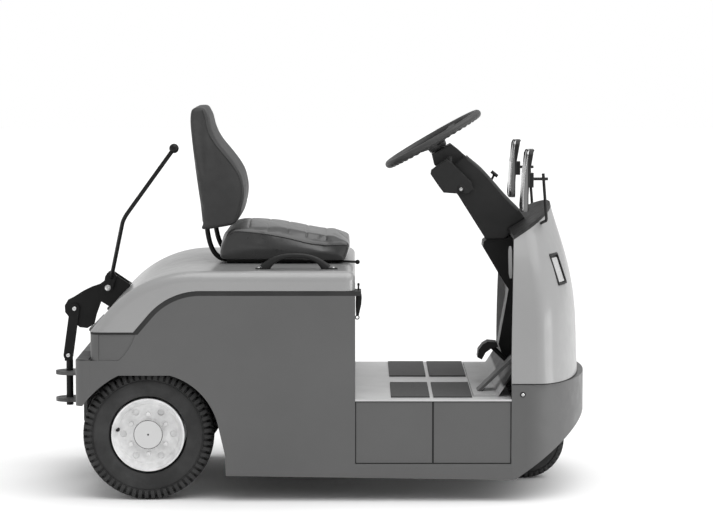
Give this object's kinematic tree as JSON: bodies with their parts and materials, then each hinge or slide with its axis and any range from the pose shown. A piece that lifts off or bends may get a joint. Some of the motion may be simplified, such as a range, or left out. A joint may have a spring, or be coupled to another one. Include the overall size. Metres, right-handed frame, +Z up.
{
  "type": "seated tow tractor",
  "caption": "Low seated electric tow tractor for baggage carts: rear seat on a sloping hood, open floor, tall cowl and a lever-lifted tow pin.",
  "frame": {"origin": "centre of the overall box on the ground, between the wheels", "axes": "+X towards the nose, +Y towards the vehicle's left, +Z up"},
  "size_m": [1.822, 1, 1.29],
  "materials": {
    "body_grey": "satin mid-grey paint",
    "light_grey": "satin light-grey paint",
    "floor_grey": "satin light-grey paint",
    "trim_black": "moulded black",
    "mat_rubber": "pimpled rubber",
    "lamp_housing": "moulded black frame round a clear lens",
    "frame_black": "black paint",
    "axle_steel": "dark paint",
    "drive_cast": "painted casting",
    "battery_case": "moulded case",
    "seat_vinyl": "black grained vinyl",
    "mirror_face": "polished",
    "tyre_rubber": "black rubber",
    "rim_paint": "light-grey paint",
    "wheel_grip": "soft dark grip",
    "link_black": "black paint",
    "pin_steel": "bare steel"
  },
  "bodies": {
    "chassis": {"side_panel_right": "body_grey", "side_panel_left": "body_grey", "rear_panel": "body_grey", "seat_box_panel": "body_grey", "nose_skirt": "body_grey", "step_cover_rear_right": "body_grey", "step_cover_rear_left": "body_grey", "step_cover_front_right": "body_grey", "step_cover_front_left": "body_grey", "hood": "light_grey", "front_cowl": "light_grey", "floor_plate": "floor_grey", "hood_trim": "trim_black", "cowl_cap": "trim_black", "grab_handle_right": "trim_black", "grab_handle_left": "trim_black", "column_cover": "trim_black", "column_switch_box": "trim_black", "mirror_arm_right": "trim_black", "mirror_arm_left": "trim_black", "floor_mats": "mat_rubber", "ledge_pads": "mat_rubber", "hood_latch_right": "mat_rubber", "hood_latch_left": "mat_rubber", "headlamp_right": "lamp_housing", "headlamp_left": "lamp_housing", "toe_board": "frame_black", "chassis_frame": "frame_black", "column_support": "frame_black", "brake_pedal": "frame_black", "accelerator_pedal": "frame_black", "seat_frame": "frame_black", "hitch_jaw": "frame_black", "lever_bracket": "frame_black", "rear_axle": "axle_steel", "drive_unit": "drive_cast", "battery": "battery_case", "seat_cushion": "seat_vinyl", "seat_back": "seat_vinyl", "mirror_glass_right": "mirror_face", "mirror_glass_left": "mirror_face"},
    "rear_wheel_right": {"rear_tyre_right": "tyre_rubber", "rear_rim_right": "rim_paint"},
    "rear_wheel_left": {"rear_tyre_left": "tyre_rubber", "rear_rim_left": "rim_paint"},
    "steer_fork": {"steer_fork": "frame_black"},
    "front_wheel": {"front_tyre": "tyre_rubber", "front_hub": "rim_paint"},
    "steering_wheel": {"steering_wheel": "wheel_grip"},
    "tow_lever": {"lever_crank": "link_black", "tow_lever": "link_black"},
    "tow_link": {"tow_link": "link_black"},
    "tow_pin": {"tow_pin": "pin_steel"}
  },
  "joints": [
    {"name": "rear_wheel_right_spin", "type": "hinge", "parent": "chassis", "child": "rear_wheel_right", "pos_m": [-0.558, -0.414, 0.217], "axis": [0, 1, 0], "continuous": true},
    {"name": "rear_wheel_left_spin", "type": "hinge", "parent": "chassis", "child": "rear_wheel_left", "pos_m": [-0.558, 0.414, 0.217], "axis": [0, 1, 0], "continuous": true},
    {"name": "steer", "type": "hinge", "parent": "chassis", "child": "steer_fork", "pos_m": [0.713, 0, 0.31], "axis": [0, 0, 1], "range_deg": [-75, 75]},
    {"name": "front_wheel_spin", "type": "hinge", "parent": "steer_fork", "child": "front_wheel", "pos_m": [0.713, 0, 0.137], "axis": [0, 1, 0], "continuous": true},
    {"name": "steering_wheel_turn", "type": "hinge", "parent": "chassis", "child": "steering_wheel", "pos_m": [0.394, 0, 1.174], "axis": [-0.5, 0, 0.866], "range_deg": [-375, 375]},
    {"name": "tow_lever_pull", "type": "hinge", "parent": "chassis", "child": "tow_lever", "pos_m": [-0.724, 0, 0.665], "axis": [0, 1, 0], "range_deg": [0, 48], "stiffness_Nm_per_rad": 4, "springref_deg": -28.65},
    {"name": "tow_pin_lift", "type": "slide", "parent": "chassis", "child": "tow_pin", "axis": [0, 0, 1], "range_m": [0, 0.113]},
    {"name": "tow_link_swing", "type": "hinge", "parent": "tow_pin", "child": "tow_link", "pos_m": [-0.866, -0.012, 0.427], "axis": [0, 1, 0], "range_deg": [-9.5, 0]}
  ],
  "couplings": [
    {"joint": "steering_wheel_turn", "follows": "steer", "ratio": 5},
    {"joint": "tow_pin_lift", "follows": "tow_lever_pull", "m_per_rad": 0.1344},
    {"joint": "tow_link_swing", "follows": "tow_lever_pull", "ratio": -0.1875}
  ]
}
